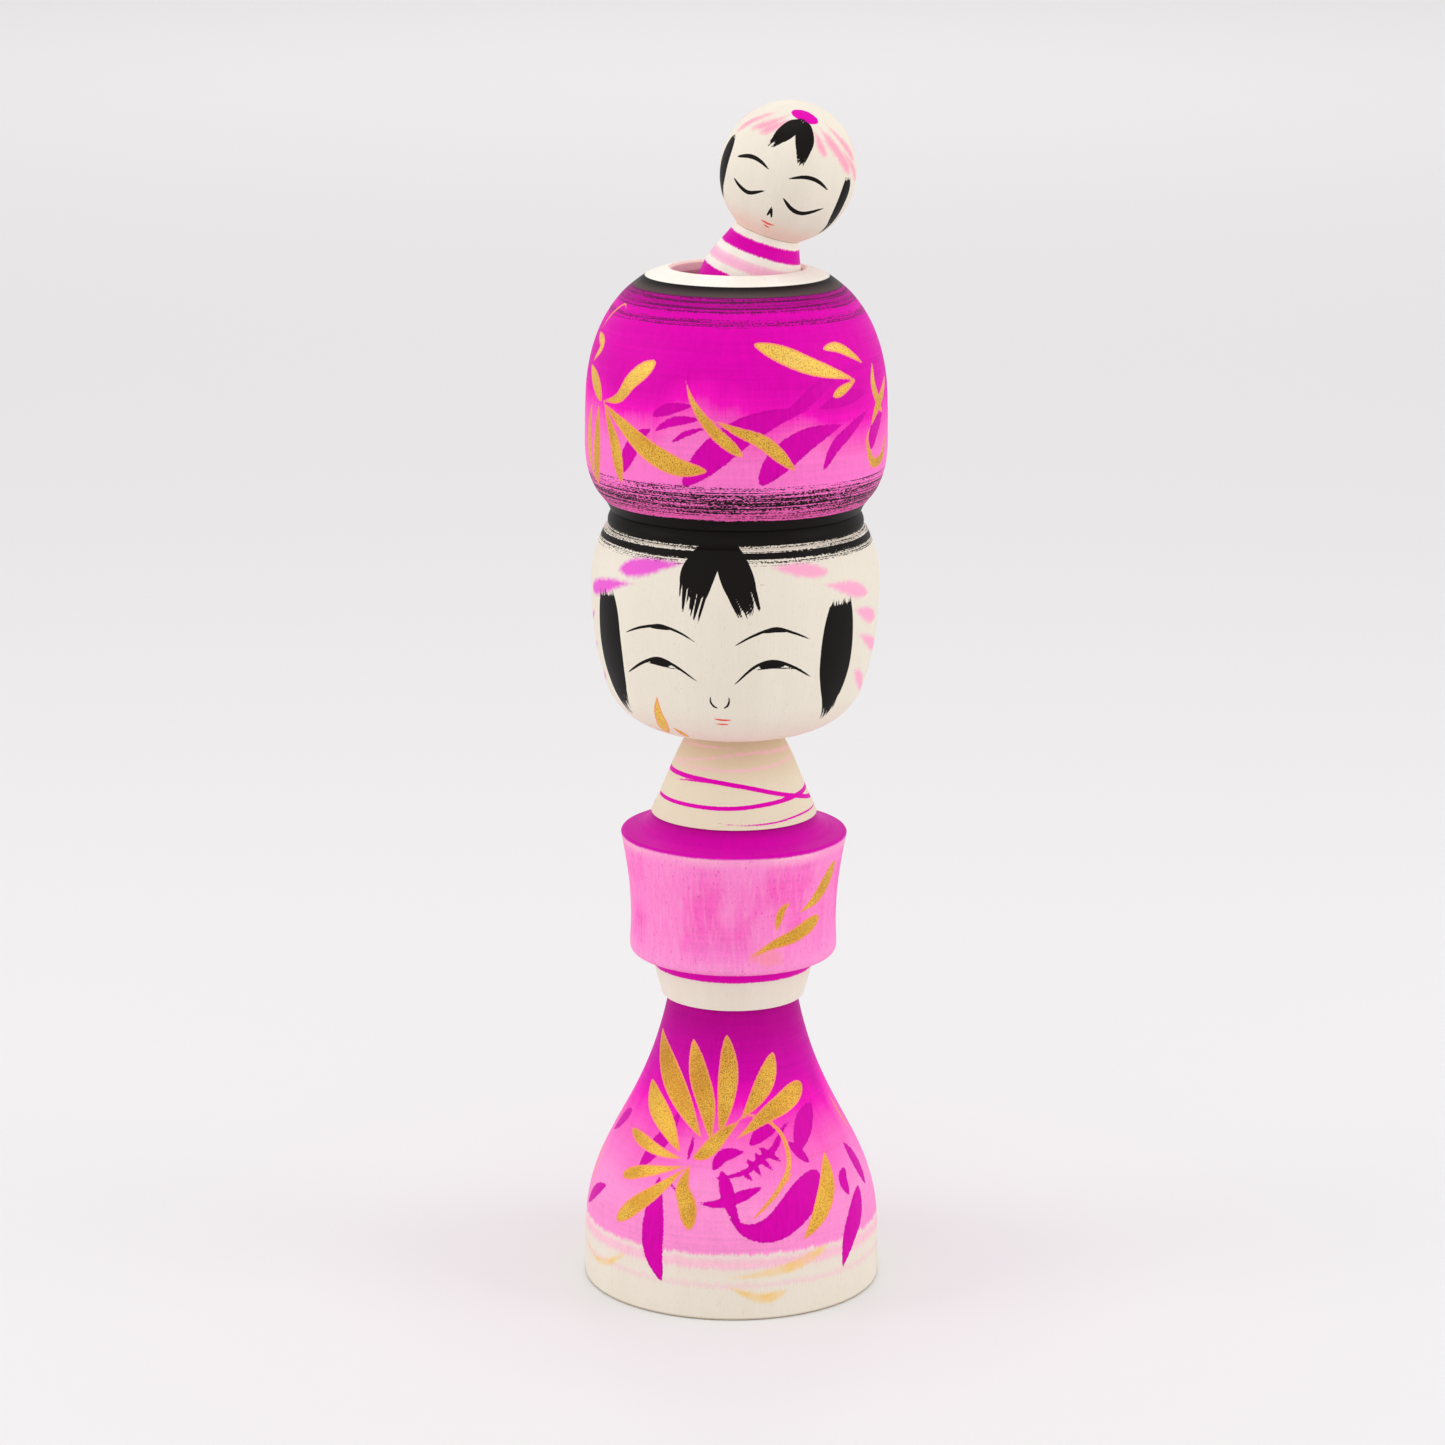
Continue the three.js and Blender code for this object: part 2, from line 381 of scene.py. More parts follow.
# thin black ink with a painted sheen, grey-brown
THIN_INK_AND_SHEEN = rgb(84, 72, 70)
# darker gold, and on the pot painted shade on the gold's lower strokes
DARK_AND_SHADED_GOLD = rgb(208, 146, 54)
GOLD = rgb(222, 164, 58)
# pale gold, and on the pot a painted highlight where the shoulder faces the light
PALE_AND_LIT_GOLD = rgb(252, 210, 104)
BRIGHT_GOLD = rgb(250, 204, 84)
DULL_GOLD = rgb(140, 84, 52)
GOLD_EDGE = rgb(248, 150, 104)
WASH_GOLD = rgb(246, 204, 118)


def thin(colour, cover):
    """The colour laid on thinly: 0 leaves the wood bare, 1 hides it."""
    return (*colour[:3], cover)


class Look:
    """A material's nodes, with a short call for each kind that the finishes share."""

    def __init__(self, name):
        self.material = bpy.data.materials.new(name)
        self.material.use_nodes = True
        self.tree = self.material.node_tree
        self.shader = self.tree.nodes["Principled BSDF"]
        self.place = self.attribute("place", "Vector")
        apart = self.node("SeparateXYZ", {0: self.place})
        self.height = apart.outputs["Z"]
        flat = self.node("CombineXYZ", {0: apart.outputs["X"], 1: apart.outputs["Y"]}).outputs[0]
        self.way_round = self.node("VectorMath", {0: flat}, operation="NORMALIZE").outputs[0]

    def node(self, kind, inputs, **settings):
        """Adds a node, with each input given as a value or as the socket that feeds it."""
        made = self.tree.nodes.new("ShaderNode" + kind)
        for name, value in settings.items():
            setattr(made, name, value)
        for name, value in inputs.items():
            self.feed(made.inputs[name], value)
        return made

    def feed(self, socket, value):
        """Sets a socket to a value, or links it to the socket that feeds it."""
        if isinstance(value, bpy.types.NodeSocket):
            self.tree.links.new(value, socket)
        else:
            socket.default_value = value

    def attribute(self, name, output="Fac"):
        """What the mesh holds under this name at each point."""
        return self.node("Attribute", {}, attribute_name=name).outputs[output]

    def plus(self, a, b):
        """The sum of two numbers."""
        return self.node("Math", {0: a, 1: b}, operation="ADD").outputs[0]

    def minus(self, a, b):
        """The first number less the second."""
        return self.node("Math", {0: a, 1: b}, operation="SUBTRACT").outputs[0]

    def times(self, a, b):
        """The product of two numbers."""
        return self.node("Math", {0: a, 1: b}, operation="MULTIPLY").outputs[0]

    def larger(self, a, b):
        """The larger of two numbers."""
        return self.node("Math", {0: a, 1: b}, operation="MAXIMUM").outputs[0]

    def between(self, value, low, high, start=0.0, end=1.0):
        """Rises smoothly from start to end as the value goes from low to high."""
        inputs = {0: value, 1: low, 2: high, 3: start, 4: end}
        return self.node("MapRange", inputs, interpolation_type="SMOOTHSTEP").outputs[0]

    def mix(self, share, under, over):
        """One colour laid over another."""
        return self.node("Mix", {0: share, 6: under, 7: over}, data_type="RGBA").outputs[2]

    def blend_numbers(self, share, under, over):
        """One number mixed into another, as colours are."""
        return self.node("Mix", {0: share, 2: under, 3: over}, data_type="FLOAT").outputs[0]

    def drawn_out(self, across, along):
        """Coordinates in which one unit is so many mm across, round the piece, and along its axis."""
        turn = {0: self.way_round, 3: TYPICAL_RADIUS / across}
        ring = self.node("VectorMath", turn, operation="SCALE").outputs[0]
        rise = self.times(self.height, 1 / along)
        lift = self.node("CombineXYZ", {2: rise}).outputs[0]
        return self.node("VectorMath", {0: ring, 1: lift}, operation="ADD").outputs[0]

    def noise(self, where, scale=1.0, detail=2.0, spread=1.0):
        """Noise around 0.5, from about 0 to 1 at a spread of 1."""
        raw = self.node("TexNoise", {"Vector": where, "Scale": scale, "Detail": detail}).outputs[0]
        wide = self.times(self.minus(raw, 0.5), 2.2 * spread)
        return self.plus(wide, 0.5)

    def ramp(self, value, stops, low, high):
        """Colours and their cover by the value, as (value, colour) stops between low and high."""
        share = self.node("MapRange", {0: value, 1: low, 2: high}).outputs[0]
        ramp = self.node("ValToRGB", {0: share})
        elements = ramp.color_ramp.elements
        elements[0].position, elements[0].color = (stops[0][0] - low) / (high - low), stops[0][1]
        elements[1].position, elements[1].color = (stops[-1][0] - low) / (high - low), stops[-1][1]
        for at, colour in stops[1:-1]:
            elements.new((at - low) / (high - low)).color = colour
        return ramp.outputs["Color"], ramp.outputs["Alpha"]

    def depth(self, ink, uneven, scale):
        """How far inside a layer's strokes each point lies, in mm, with edges that waver by so much."""
        waver = self.times(self.minus(self.noise(self.place, scale), 0.5), uneven)
        return self.plus(self.attribute(ink), waver)

    def coat(self, ink, soft, uneven, scale=2.5):
        """Where a layer's strokes lie, 0 to 1, with an edge so soft and so uneven, in mm."""
        return self.between(self.depth(ink, uneven, scale), -soft, soft)


def bare_wood(look, colour=WOOD, grain=WOOD_GRAIN):
    """Pale turned wood: fine fibres along the axis, broader figure across it, and a few flecks."""
    fibre = look.noise(look.drawn_out(0.28, 5), detail=2, spread=0.8)
    figure = look.noise(look.drawn_out(7, 60), detail=1)
    share = look.times(look.plus(fibre, figure), 0.2)
    wood = look.mix(share, colour, grain)
    fleck = look.between(look.noise(look.drawn_out(0.2, 0.9), detail=0), 0.98, 1.1, 0, 0.2)
    return look.mix(fleck, wood, FLECK), fibre


def wandering(look, low, high, reach):
    """An uneven drift up and down, of so many mm, that dies out at the heights low and high."""
    inside = look.times(look.between(look.height, low, low + reach),
                        look.between(look.height, high, high - reach))
    drift = look.minus(look.noise(look.drawn_out(14, 40), detail=2), 0.5)
    return look.times(look.times(drift, inside), reach)


def dyed(look, under, fibre, bands, height, run, fade=None):
    """Dye in bands up the piece, which runs so far along the fibres and shows the turning marks. It
    wanders up and down between the two heights of a fade."""
    creep = look.times(look.minus(fibre, 0.5), run)
    mottle = look.noise(look.drawn_out(1.1, 2.5), detail=3, spread=0.8)
    drift = look.times(look.minus(mottle, 0.5), run)
    level = look.plus(look.plus(look.height, creep), drift)
    if fade is not None:
        level = look.plus(level, wandering(look, *fade, 8))
    colour, cover = look.ramp(level, bands, 0, height)
    speck = look.noise(look.place, 2.6, detail=3)
    shade = look.plus(look.times(look.plus(mottle, speck), 0.1), 0.92)
    shade = look.minus(shade, look.times(fibre, 0.09))
    marks = look.noise(look.drawn_out(30, 0.55), detail=2)
    shade = look.plus(shade, look.times(look.minus(marks, 0.5), 0.11))
    toned = look.node("VectorMath", {0: colour, 3: shade}, operation="SCALE").outputs[0]
    return look.mix(cover, under, toned)


def soft_petals(look, under, ink, colour):
    """Petals of thin wet dye: dense where they are broad, and fading out along their tails."""
    wash = look.between(look.depth(ink, 0.5, 1.2), -0.25, 1.1, 0, 0.9)
    return look.mix(wash, under, colour)


def dry_brush(look, under, colour, cover, height, ink=1.0, coarse=0.22):
    """Ink from a nearly dry brush held to the turning piece: broken lines, and specks between."""
    lines = look.noise(look.drawn_out(20, coarse), detail=2)
    specks = look.noise(look.drawn_out(0.4, 0.24), detail=1, spread=1.1)
    rough = look.plus(look.times(lines, 0.62), look.times(specks, 0.38))
    stops = [(at, (share, share, share, 1)) for at, share in cover]
    amount, _ = look.ramp(look.height, stops, 0, height)
    wetness = look.plus(amount, look.minus(rough, 0.5))
    mask = look.between(wetness, 0.44, 0.58, 0, ink)
    return look.mix(mask, under, colour), mask


def gilded(look, under, tones, height):
    """Gold paint: fine bright and dull flakes, thin and orange at the edge of each stroke."""
    mask = look.coat("gold", 0.06, 0.2, 4)
    flakes = look.noise(look.place, 6.2, detail=0, spread=1.4)
    load = look.noise(look.place, 0.1, detail=1, spread=1.2)
    tone, _ = look.ramp(look.height, tones, 0, height)
    bright = look.between(look.plus(look.times(flakes, 0.6), load), 0.3, 1.3, 0, 0.7)
    colour = look.mix(bright, tone, BRIGHT_GOLD)
    colour = look.mix(look.between(flakes, 0.42, 0.02, 0, 0.7), colour, DULL_GOLD)
    thinness = look.between(look.attribute("gold"), 0.5, 0.12, 0, 0.85)
    colour = look.mix(thinness, colour, GOLD_EDGE)
    return look.mix(mask, under, colour), mask


def gold_wash(look, under):
    """Gold let down with water: soft, yellow and uneven."""
    load = look.noise(look.place, 0.3)
    cover = look.times(look.coat("wash", 0.5, 0.5), look.between(load, 0.2, 0.8, 0.5, 0.9))
    return look.mix(cover, under, WASH_GOLD)


def surface(look, colour, fibre, bare_roughness=0.5, gold=None, ink=None):
    """Joins the colour to the shader, under a thin coat of wax over fibres and turning marks. Gold and
    ink say where those lie: they are smoother than the wood, and stand a little above it."""
    shader = look.shader
    look.feed(shader.inputs["Base Color"], colour)
    marks = look.noise(look.drawn_out(40, 0.35), detail=2)
    rough = look.plus(look.times(marks, 0.12), bare_roughness - 0.06)
    relief = look.plus(look.times(fibre, 0.010), look.times(marks, 0.010))
    if gold is not None:
        rough = look.blend_numbers(gold, rough, 0.42)
        relief = look.plus(relief, look.times(gold, 0.02))
        look.feed(shader.inputs["Metallic"], look.times(gold, 0.25))
    if ink is not None:
        rough = look.blend_numbers(ink, rough, 0.42)
        relief = look.plus(relief, look.times(ink, 0.012))
    look.feed(shader.inputs["Roughness"], rough)
    bump = look.node("Bump", {"Strength": 0.7, "Distance": MM, "Height": relief})
    look.feed(shader.inputs["Normal"], bump.outputs[0])
    shader.inputs["Specular IOR Level"].default_value = 0.04
    shader.inputs["Coat Weight"].default_value = 0.02
    shader.inputs["Coat Roughness"].default_value = 0.25
    return look.material


def dye_strokes(look, under):
    """Strokes of dye over dye: darker along their edges, where it gathers, and streaked inside."""
    streak = look.noise(look.drawn_out(0.4, 2.5), detail=2)
    pool = look.between(look.attribute("dye"), 0.0, 0.8, 1.0, 0.6)
    colour = look.mix(look.times(pool, streak), MAGENTA, LEAF_MAGENTA)
    return look.mix(look.coat("dye", 0.1, 0.25, 2), under, colour)


# ---------------------------------------------------------------------------------------------
# The motifs

def paint(piece, ink, strokes, **how):
    """Lays a list of (width, belly, places...) strokes on a piece."""
    for width, belly, *places in strokes:
        piece.brush(ink, width, belly, *places, **how)


def paint_front_and_back(piece, ink, strokes):
    """Lays the strokes on the front of a piece and, mirrored, on its back."""
    paint(piece, ink, strokes)
    for width, belly, *places in strokes:
        piece.brush(ink, width, belly, *[(180 - angle, height) for angle, height in places])


def comb(piece, locks):
    """Lays a list of (hairs, width, ragged share, one edge, other edge) locks of hair on a piece."""
    for lock in locks:
        piece.hair(*lock)


SKIRT_GOLD = [
    # the flower's petals, from their tips to its heart
    (5.1, 0.42, (-76, 52.5), (-51, 46.5), (-32, 41), (-16, 35)),
    (4.3, 0.42, (-33, 53), (-25, 47), (-16, 41), (-11, 34.5)),
    (4.0, 0.42, (-5, 54.5), (-3, 48.5), (-4, 42.5), (-7, 35.5)),
    (4.0, 0.40, (32, 50.5), (24, 46), (14, 42), (5, 39)),
    (4.3, 0.22, (50, 43.5), (33, 41), (19, 39), (1, 35)),
    (4.6, 0.40, (-65, 43), (-54, 40), (-39, 36.5), (-26, 32)),
    (2.7, 0.32, (-63, 33.5), (-51, 32.5), (-37, 31.5), (-23, 31)),
    (2.8, 0.20, (-55, 25.5), (-46, 27), (-34, 28.5), (-21, 30)),
    (3.7, 0.25, (-52, 17), (-43, 21), (-33, 25), (-21, 30)),
    (3.8, 0.30, (-17, 18.5), (-19, 23), (-22, 26), (-20, 30.5)),
    # its heart, the curling stem, and the crescent leaf beside it
    (3.2, 0.35, (-19, 31.5), (-14, 32.5), (-5, 36), (4, 38.5)),
    (1.1, 0.70, (-5, 35.5), (6, 39), (19, 38.5), (28, 34.5), (28, 30.5), (22, 26.5), (8, 20.5)),
    (0.4, 0.50, (29, 29), (25, 27), (22, 26)),
    (4.4, 0.45, (50, 30.5), (46, 25.5), (39, 20.5), (29, 15.5)),
    # stems that run on round the sides
    (0.9, 0.50, (80, 39), (82, 35), (86, 30.5)),
    (0.9, 0.50, (-86, 29), (-85, 23.5), (-81, 18)),
]
SKIRT_WASH = [
    (2.1, 0.70, (-1, 9), (10, 9.5), (23, 10.5), (33, 12), (40, 13.5)),
    (2.1, 0.70, (-1, 7), (6, 5.5), (13, 4.5), (21, 5.5)),
    (1.3, 0.60, (-77, 8), (-65, 6.5), (-56, 7.5), (-46, 10.5)),
]
SKIRT_DYE = [
    # long leaves
    (5.1, 0.45, (-28, 7), (-32, 13), (-33, 19), (-34, 27.5)),
    (3.5, 0.45, (-47, 27.2), (-42, 31.5), (-36, 35.5), (-32, 39.5)),
    (0.9, 0.50, (-22, 30.5), (-21, 33.5), (-21, 35.5)),
    (3.4, 0.40, (-73, 36), (-79, 33.8), (-86, 30.5)),
    (2.9, 0.50, (-83, 15.5), (-74, 19.5), (-65, 22)),
    (0.6, 0.50, (-31, 27), (-27, 26), (-24, 25)),
    # the feathered branch
    (1.4, 0.60, (-11, 28), (-2, 28.5), (7, 29.5), (14, 31.5), (21, 33), (29, 36.5), (34, 37.5)),
    (1.1, 0.30, (4, 29.5), (6, 29), (10, 27.5)),
    (1.2, 0.30, (7, 31.5), (11, 30), (14, 28)),
    (1.3, 0.30, (11, 32.5), (15, 31), (20, 29)),
    (1.3, 0.30, (14, 33.5), (19, 32), (25, 30.5)),
    (2.9, 0.50, (9, 34), (16, 36), (26, 37)),
    (2.6, 0.45, (-9, 29.5), (-5, 32), (6, 33)),
    # crossed leaves and the great crescent under them
    (2.3, 0.60, (-15, 23.5), (-7, 23.5), (1, 24.5), (13, 26.5)),
    (2.8, 0.35, (-5, 29.5), (-3, 27), (-1, 23.5), (4, 19)),
    (7.0, 0.72, (-2, 21.5), (6, 18.5), (16, 18.5), (26, 21.5), (41, 27.5)),
    # leaves at the right
    (4.4, 0.45, (54, 39.5), (45, 37.2), (38, 34.2), (33, 31.5)),
    (2.1, 0.50, (30, 34), (34, 32), (39, 29.5)),
    (3.4, 0.50, (68, 30.5), (72, 26), (74, 21)),
    (2.8, 0.50, (60, 26.5), (56, 24.5), (57, 21.5)),
    (5.0, 0.40, (66, 22), (59, 17.5), (53, 13.5), (48, 7.5)),
]
POT_GOLD = [
    # the spray at the left, from its curling stem down
    (0.6, 0.50, (-62, 40.5), (-68, 41.5), (-76, 39), (-80, 35.5)),
    (2.0, 0.40, (-80, 35.5), (-70, 33.5), (-76, 30)),
    (3.4, 0.60, (-78, 29.5), (-68, 26.5), (-62, 23.5)),
    (3.4, 0.75, (-61, 23.5), (-50, 25), (-44, 28.5), (-34, 32.5)),
    (4.2, 0.65, (-61, 23.5), (-48, 20), (-34, 15.5), (-22, 13), (-11, 12.5)),
    (3.2, 0.65, (-60, 23), (-55, 19), (-51, 14.5), (-49, 8.5)),
    (3.2, 0.60, (-64, 23), (-65, 16.5), (-66, 11), (-69, 6.5)),
    (2.4, 0.50, (-71, 22.5), (-74, 16), (-72, 10), (-70, 6.5)),
    # two blades in the middle
    (2.5, 0.75, (-20, 30), (-17, 26), (-10, 21), (2, 15.5)),
    (2.8, 0.65, (-9, 22.5), (-1, 20.5), (10, 18), (22, 12.5)),
    # the spray at the right
    (3.8, 0.33, (7, 36.5), (18, 34.5), (30, 32), (52, 28.5)),
    (2.1, 0.35, (37, 35), (44, 35), (51, 33.5), (59, 31)),
    (1.9, 0.30, (39, 26), (44, 27), (52, 28.5)),
    (2.2, 0.50, (66, 31), (64, 27), (68, 23), (73, 20.5)),
    (2.4, 0.50, (80, 27.5), (73, 24.5), (66, 22), (61, 19)),
    (2.2, 0.70, (61, 19.5), (58, 16.5), (62, 12), (73, 12.5), (76, 16)),
]
POT_DYE = [
    (2.2, 0.40, (-33, 22.5), (-26, 24), (-16, 25)),
    (1.8, 0.50, (-32, 19.5), (-25, 21.5), (-13, 22.5)),
    (1.1, 0.40, (-25, 17.5), (-19, 19.5), (-10, 21)),
    (3.4, 0.40, (-48, 10.5), (-44, 14.5), (-39, 18), (-33, 20)),
    (6.0, 0.35, (-20, 9.5), (-10, 15), (2, 20), (16, 23), (28, 24)),
    (5.4, 0.35, (9, 10), (15, 14), (26, 18), (43, 20.5)),
    (2.6, 0.40, (34, 12), (39, 16), (47, 19), (59, 22.5)),
    (3.6, 0.40, (61, 14.5), (63, 17.5), (72, 21)),
    (2.8, 0.50, (18, 23.5), (26, 25.5), (35, 28.5), (41, 29)),
    (2.8, 0.50, (32, 24), (41, 25), (58, 26)),
]
TORSO_GOLD = [
    (3.6, 0.28, (66, 29.5), (59, 26), (50, 23), (38, 21)),
    (1.8, 0.50, (32, 23.5), (27, 22), (24, 18)),
    (3.3, 0.80, (7, 12.5), (21, 15), (36, 16.5), (54, 19)),
]
# One line of dye wound round the neck as the lathe turned, with a thin one under it.
NECK_SPIRAL = [(-85, 4), (-44, 4), (-5, 4), (26, 4.5), (57, 5), (95, 5.5), (180, 7.5), (265, 9),
               (331, 9), (368, 8), (409, 5.5), (455, 3), (540, 2.2), (630, 1.6)]
NECK_LINES = [
    (0.4, 0.60, (-16, 1.5), (1, 1), (26, 1), (56, 1.5), (95, 1.5)),
    (0.3, 0.40, (-62, 8), (-39, 8.5), (-17, 8.5)),
]
NECK_PALE = [
    (0.5, 0.50, (-90, 14.5), (-61, 15), (-28, 15), (1, 15)),
    (0.7, 0.50, (-90, 11), (-68, 11.5), (-27, 13), (10, 14), (90, 13.5), (180, 12.5)),
    (0.6, 0.50, (-110, 11), (-63, 11), (-27, 11), (9, 11), (46, 11.5), (95, 12), (200, 11)),
]

FACE = [
    # brows, each with a heavier touch at its middle
    (0.60, 0.50, (-49.4, 23.5), (-40.5, 25.2), (-30.4, 26.1), (-22.4, 25.2), (-15.4, 23.4)),
    (1.1, 0.50, (-36.0, 25.7), (-31.0, 25.95), (-26.0, 25.75)),
    (0.60, 0.50, (-0.8, 22.9), (6.8, 25.0), (15.8, 26.3), (23.5, 25.2), (31.4, 23.5)),
    (1.1, 0.50, (10.5, 25.7), (15.8, 26.1), (21.0, 25.7)),
    # the lids of the eyes, the lines under them, and the pupils
    (0.66, 0.45, (-50.4, 15.3), (-39.3, 18.4), (-32.2, 19.5), (-25.0, 18.4), (-14.6, 15.2)),
    (0.66, 0.50, (-0.6, 15.0), (7.9, 18.8), (14.9, 19.8), (23.3, 18.5), (33.2, 15.7)),
    (0.28, 0.50, (-40.1, 18.4), (-32.5, 18.15), (-22.5, 17.6)),
    (0.30, 0.50, (6.5, 18.1), (15.5, 18.4), (27.5, 17.8)),
    (1.35, 0.50, (-36.4, 18.5), (-31.6, 18.8), (-26.8, 18.5)),
    (1.40, 0.50, (9.8, 18.7), (14.9, 19.1), (19.9, 18.8)),
    # the nose
    (0.42, 0.70, (-10.2, 12.8), (-10.5, 11.5), (-9.4, 10.6), (-7.6, 10.1)),
    (0.42, 0.70, (-2.8, 12.9), (-2.5, 11.7), (-3.2, 10.7), (-4.8, 10.1)),
]
MOUTH = [
    (0.50, 0.50, (-10.2, 7.8), (-5.4, 7.5), (-0.8, 7.6)),
    (0.46, 0.50, (-9.4, 6.6), (-5.6, 6.5), (-2.1, 6.5)),
]
HEAD_GOLD = [
    (2.7, 0.62, (-35.5, 11.5), (-36.9, 8.4), (-38.0, 5.7), (-42.6, 2.5)),
    (0.5, 0.50, (-51.9, 4.0), (-47.4, 3.2), (-42.9, 2.2)),
    (1.6, 0.60, (-33.0, 4.6), (-30.5, 3.5), (-29.5, 2.1)),
]
PETALS_LEFT = [
    (4.4, 0.30, (-54, 35.6), (-41.9, 36.9), (-31.9, 37.9), (-19.7, 38.6)),
    (4.0, 0.25, (-80, 29.5), (-62.6, 31.7), (-52.4, 32.9), (-41.6, 33.8)),
    (2.2, 0.50, (-90, 23.0), (-82, 24.0), (-77, 25.5)),
    (1.8, 0.50, (-92, 16.5), (-84, 17.5), (-78, 19.0)),
    (1.8, 0.50, (-90, 9.0), (-82, 11.0), (-74, 13.5)),
]
PETALS_RIGHT = [
    (3.6, 0.65, (12, 38.3), (24.2, 37.5), (40.5, 36.2)),
    (3.8, 0.65, (36, 34.1), (48.0, 32.8), (65, 30.3)),
    (3.8, 0.65, (53, 28.2), (63.5, 26.3), (76.5, 24.3)),
    (3.4, 0.65, (57, 23.0), (70.2, 20.1), (86.0, 17.5)),
    (3.2, 0.40, (59, 15.4), (69.3, 12.2), (82.5, 8.0)),
]

# The forelock in its two lobes, and then the locks at the sides.
HAIR = [
    (9, 1.3, 0.32, [(-11, 44.6), (-18.1, 40), (-21.4, 37), (-22, 30)],
     [(-8, 44.6), (-8.2, 39), (-10.5, 35), (-15, 27.2)]),
    (9, 1.3, 0.32, [(-7, 44.6), (-6.6, 39), (-4.2, 35), (3, 27.3)],
     [(-4, 44.6), (2.7, 39.9), (6.2, 36.1), (9.4, 30)]),
    (9, 1.5, 0.15, [(-67, 31), (-69, 24.1), (-69.2, 18.5), (-67.7, 12.5), (-60, 5.4)],
     [(-57, 31.4), (-54.9, 27.3), (-54.3, 23.2), (-54, 17.6), (-56, 7.4)]),
    (9, 1.5, 0.15, [(41.2, 31), (38.7, 25.5), (37.9, 20.5), (38.6, 15.8), (46, 5.8)],
     [(51, 31), (52.4, 25.9), (53, 20.3), (52.8, 15.6), (50.2, 8)]),
]

SMALL_FACE = [
    # brows
    (0.85, 0.40, (-53, 53.7), (-40, 54.8), (-30, 54.8), (-17.7, 53.8)),
    (0.80, 0.50, (-1.4, 53.5), (12, 54.7), (23.6, 54.6), (36.4, 53.3)),
    # the lids of the closed eyes
    (0.85, 0.45, (-50.9, 49.7), (-41.2, 48.6), (-31.4, 48.2), (-16.4, 49.8)),
    (0.90, 0.45, (-1, 49.7), (10.2, 48.0), (20.8, 47.7), (39.4, 49.8)),
    # the nose
    (0.45, 0.70, (-7.4, 47.4), (-7.9, 46.2), (-9.2, 45.1)),
    (0.45, 0.70, (-7.4, 47.4), (-5.9, 46.2), (-4.6, 44.9)),
]
SMALL_MOUTH = [
    (0.55, 0.50, (-16.5, 43.9), (-6.1, 43.5), (2.5, 43.6)),
    (0.45, 0.50, (-11.0, 43.1), (-6.3, 42.8), (-1.7, 42.8)),
]
SMALL_FLUSH = [
    (2.5, 0.70, (-26, 64.6), (-42, 61.6), (-56, 59.4)),
    (2.8, 0.75, (-20, 63.9), (-34, 61.4), (-42, 59.6)),
    (2.4, 0.70, (-44, 64.4), (-64, 60.7), (-74, 57.4)),
    (2.4, 0.75, (8, 63.5), (18.7, 61.4), (27, 59.2)),
    (3.0, 0.70, (16, 64.2), (34.6, 61.7), (49, 59.2)),
    (2.6, 0.70, (28, 65), (56, 62), (74, 59)),
    (3.0, 0.75, (22, 63), (44, 60.2), (60, 57)),
    (2.4, 0.75, (40, 62), (64, 58.6), (80, 55.5)),
]
SMALL_HAIR = [
    (9, 0.9, 0.34, [(-9, 64.4), (-22, 62.9), (-26.5, 60.8), (-29, 57.6)],
     [(-7, 64.4), (-8.5, 62.6), (-13, 60.8), (-26, 57.4)]),
    (9, 0.9, 0.34, [(-7, 64.4), (-7, 62.4), (-3.5, 60.2), (3.0, 56.4)],
     [(-5, 64.4), (6, 63.2), (10.5, 60.8), (6, 56.2)]),
    (4, 1.2, 0.15, [(-75, 57.5), (-76.8, 53.1), (-77.6, 48.8), (-79, 44.0)],
     [(-70, 56.9), (-65.5, 53.9), (-66, 49.6), (-76, 44.0)]),
    (4, 1.1, 0.15, [(55, 56.6), (53.6, 53), (54.6, 49.4), (66, 43.6)],
     [(61.4, 56.6), (63, 54), (62.3, 50.5), (71, 43.4)]),
]


# ---------------------------------------------------------------------------------------------
# The pieces

def skirt():
    """The flared skirt: a flower and leaves over dye that stops short of the foot."""
    piece = Turned("skirt", 0.42)
    paint_front_and_back(piece, "gold", SKIRT_GOLD)
    paint_front_and_back(piece, "wash", SKIRT_WASH)
    paint_front_and_back(piece, "dye", SKIRT_DYE)

    look = Look("dyed_skirt")
    wood, fibre = bare_wood(look)
    bands = [
        (0, thin(PALE_PINK, 0)), (6.4, thin(PALE_PINK, 0)), (7.3, thin(PALE_PINK, 0.4)),
        (8.4, thin(PALE_PINK, 0)), (10.2, thin(PALE_PINK, 0.1)), (11.4, thin(PALE_PINK, 0.85)),
        (12.7, thin(PALE_PINK, 0.6)), (13.2, thin(PALE_PINK, 0.1)), (14.0, PINK), (24, PINK),
        (30, HOT_PINK), (34, STRONG_PINK), (41, BRIGHT_MAGENTA), (46.5, STRONG_MAGENTA),
        # painted shade: the magenta darkens towards the top, under the torso's overhang
        (57, SHADED_MAGENTA), (59.5, SHADED_MAGENTA),
    ]
    colour = dyed(look, wood, fibre, bands, piece.height, 1.0, (17, 50))
    colour = dye_strokes(look, colour)
    colour = gold_wash(look, colour)
    # painted shadow: the skirt's lowest 0.7 mm turns brown where it stands on the floor
    colour = look.mix(look.between(look.height, 0.7, 0.1, 0, 0.6), colour, FOOT_CONTACT_SHADOW)
    colour, gold = gilded(look, colour, [(0, GOLD), (32, GOLD), (50, DARK_AND_SHADED_GOLD)], piece.height)
    piece.finish("base", surface(look, colour, fibre, gold=gold))


